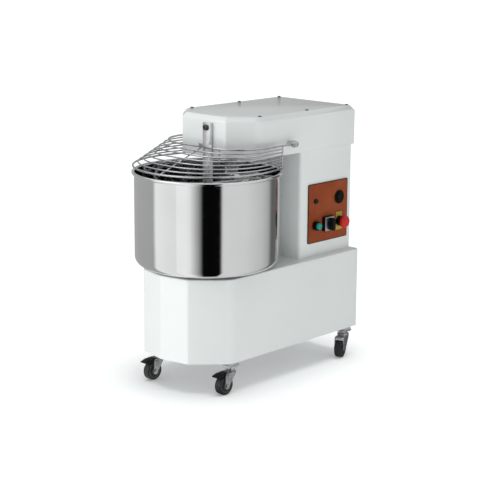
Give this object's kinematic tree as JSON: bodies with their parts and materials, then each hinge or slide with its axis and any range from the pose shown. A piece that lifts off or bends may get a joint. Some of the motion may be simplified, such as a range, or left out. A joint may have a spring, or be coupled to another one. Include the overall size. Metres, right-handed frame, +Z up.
{
  "type": "spiral dough mixer",
  "caption": "Floor-standing spiral dough mixer with a turning stainless bowl, spiral hook, breaker bar, hinged wire guard, side control panel and castors.",
  "frame": {"origin": "on the floor, in the middle of the machine's outer box", "axes": "+X to the right seen from the front, +Y to the rear, +Z up"},
  "size_m": [0.4736, 0.7768, 0.849],
  "materials": {
    "white_paint": "smooth glossy white enamel",
    "plate_steel": "grey primed steel plate",
    "zinc": "bright zinc plate",
    "dark_screws": "blackened steel",
    "stainless": "bright stainless steel",
    "polished_stainless": "mirror polished stainless steel",
    "shaft_steel": "ground steel",
    "drive_steel": "oiled dark steel",
    "housing_iron": "painted cast iron",
    "bearing_steel": "ground bearing steel",
    "motor_paint": "blue grey machine paint",
    "belt_rubber": "ribbed black rubber",
    "panel_copper": "satin copper brown film",
    "lamp_dark": "dark tinted lens",
    "black_plastic": "moulded black plastic",
    "green_plastic": "glossy blue green plastic",
    "chrome_ring": "bright plated ring",
    "yellow_plastic": "yellow plastic disc",
    "red_plastic": "glossy red plastic",
    "switch_plastic": "grey moulded plastic",
    "wheel_rubber": "dark grey rubber tread"
  },
  "bodies": {
    "frame": {"base_cabinet": "white_paint", "base_floor": "plate_steel", "column_shell": "white_paint", "rear_cover": "white_paint", "cover_screws": "zinc", "head_shell": "white_paint", "head_lid": "white_paint", "lid_screws": "dark_screws", "breaker_bar": "stainless", "breaker_bolt": "dark_screws", "bowl_housing": "housing_iron", "bowl_bearings": "bearing_steel", "spiral_housing": "housing_iron", "spiral_bearings": "bearing_steel", "lay_bearings": "bearing_steel", "drive_plate": "plate_steel", "motor": "motor_paint", "drive_belt": "belt_rubber", "head_chain": "drive_steel", "base_chain": "drive_steel", "hinge_bolts": "stainless", "control_panel": "panel_copper", "pilot_lamp": "lamp_dark", "start_collar": "black_plastic", "selector_plate": "black_plastic", "selector_bezel": "chrome_ring", "stop_legend": "yellow_plastic", "stop_collar": "black_plastic", "switch_blocks": "switch_plastic", "cable_gland": "black_plastic", "castor_plates": "zinc", "castor_bolts": "zinc"},
    "bowl": {"bowl": "polished_stainless", "bowl_shaft": "shaft_steel", "bowl_sprocket": "drive_steel"},
    "spiral": {"spiral_tool": "stainless", "spiral_shaft": "shaft_steel", "spiral_sprocket": "drive_steel"},
    "lay_shaft": {"lay_shaft": "shaft_steel", "lay_wheels": "drive_steel"},
    "motor_rotor": {"motor_pulley": "drive_steel"},
    "guard": {"guard": "stainless"},
    "timer_knob": {"timer_knob": "black_plastic"},
    "start_button": {"start_button": "green_plastic"},
    "selector_knob": {"selector_knob": "black_plastic"},
    "stop_button": {"stop_mushroom": "red_plastic"},
    "fork_front_left": {"fork_front_left": "zinc", "axle_front_left": "zinc"},
    "wheel_front_left": {"wheel_front_left": "wheel_rubber"},
    "fork_front_right": {"fork_front_right": "zinc", "axle_front_right": "zinc"},
    "wheel_front_right": {"wheel_front_right": "wheel_rubber"},
    "fork_rear_left": {"fork_rear_left": "zinc", "axle_rear_left": "zinc"},
    "wheel_rear_left": {"wheel_rear_left": "wheel_rubber"},
    "fork_rear_right": {"fork_rear_right": "zinc", "axle_rear_right": "zinc"},
    "wheel_rear_right": {"wheel_rear_right": "wheel_rubber"},
    "pedal_left": {"pedal_left": "black_plastic"},
    "pedal_right": {"pedal_right": "black_plastic"}
  },
  "joints": [
    {"name": "bowl_spin", "type": "hinge", "parent": "frame", "child": "bowl", "pos_m": [0, -0.1516, 0.4], "axis": [0, 0, 1], "continuous": true},
    {"name": "spiral_spin", "type": "hinge", "parent": "frame", "child": "spiral", "pos_m": [0, -0.0416, 0.7], "axis": [0, 0, 1], "continuous": true},
    {"name": "lay_spin", "type": "hinge", "parent": "frame", "child": "lay_shaft", "pos_m": [0, 0.1534, 0.5], "axis": [0, 0, 1], "continuous": true},
    {"name": "motor_spin", "type": "hinge", "parent": "frame", "child": "motor_rotor", "pos_m": [0, 0.2724, 0.7], "axis": [0, 0, 1], "continuous": true},
    {"name": "guard_lift", "type": "hinge", "parent": "frame", "child": "guard", "pos_m": [0, 0.0404, 0.754], "axis": [-1, 0, 0], "range_deg": [0, 100]},
    {"name": "timer_turn", "type": "hinge", "parent": "frame", "child": "timer_knob", "pos_m": [0.176, 0.2914, 0.549], "axis": [-1, 0, 0], "range_deg": [0, 300]},
    {"name": "start_press", "type": "slide", "parent": "frame", "child": "start_button", "axis": [-1, 0, 0], "range_m": [0, 0.004], "stiffness_N_per_m": 600, "springref_m": -0.002},
    {"name": "selector_turn", "type": "hinge", "parent": "frame", "child": "selector_knob", "pos_m": [0.18, 0.2334, 0.469], "axis": [-1, 0, 0], "range_deg": [-45, 45]},
    {"name": "stop_press", "type": "slide", "parent": "frame", "child": "stop_button", "axis": [-1, 0, 0], "range_m": [0, 0.006]},
    {"name": "swivel_front_left", "type": "hinge", "parent": "frame", "child": "fork_front_left", "pos_m": [-0.094, -0.2756, 0.078], "axis": [0, 0, 1], "continuous": true},
    {"name": "roll_front_left", "type": "hinge", "parent": "fork_front_left", "child": "wheel_front_left", "pos_m": [-0.094, -0.3036, 0.03], "axis": [1, 0, 0], "continuous": true},
    {"name": "swivel_front_right", "type": "hinge", "parent": "frame", "child": "fork_front_right", "pos_m": [0.1685, -0.2176, 0.078], "axis": [0, 0, 1], "continuous": true},
    {"name": "roll_front_right", "type": "hinge", "parent": "fork_front_right", "child": "wheel_front_right", "pos_m": [0.1685, -0.2456, 0.03], "axis": [1, 0, 0], "continuous": true},
    {"name": "swivel_rear_left", "type": "hinge", "parent": "frame", "child": "fork_rear_left", "pos_m": [-0.1685, 0.3264, 0.078], "axis": [0, 0, 1], "continuous": true},
    {"name": "roll_rear_left", "type": "hinge", "parent": "fork_rear_left", "child": "wheel_rear_left", "pos_m": [-0.1685, 0.2984, 0.03], "axis": [1, 0, 0], "continuous": true},
    {"name": "swivel_rear_right", "type": "hinge", "parent": "frame", "child": "fork_rear_right", "pos_m": [0.1685, 0.3264, 0.078], "axis": [0, 0, 1], "continuous": true},
    {"name": "roll_rear_right", "type": "hinge", "parent": "fork_rear_right", "child": "wheel_rear_right", "pos_m": [0.17853, 0.30026, 0.03], "axis": [0.9336, 0.3584, 0], "continuous": true},
    {"name": "brake_left", "type": "hinge", "parent": "fork_front_left", "child": "pedal_left", "pos_m": [-0.094, -0.3016, 0.064], "axis": [1, 0, 0], "range_deg": [0, 12]},
    {"name": "brake_right", "type": "hinge", "parent": "fork_front_right", "child": "pedal_right", "pos_m": [0.1685, -0.2436, 0.064], "axis": [1, 0, 0], "range_deg": [0, 12]}
  ],
  "couplings": [
    {"joint": "lay_spin", "follows": "bowl_spin", "ratio": 6.3636},
    {"joint": "spiral_spin", "follows": "bowl_spin", "ratio": 3.2845},
    {"joint": "motor_spin", "follows": "bowl_spin", "ratio": 13.92}
  ]
}
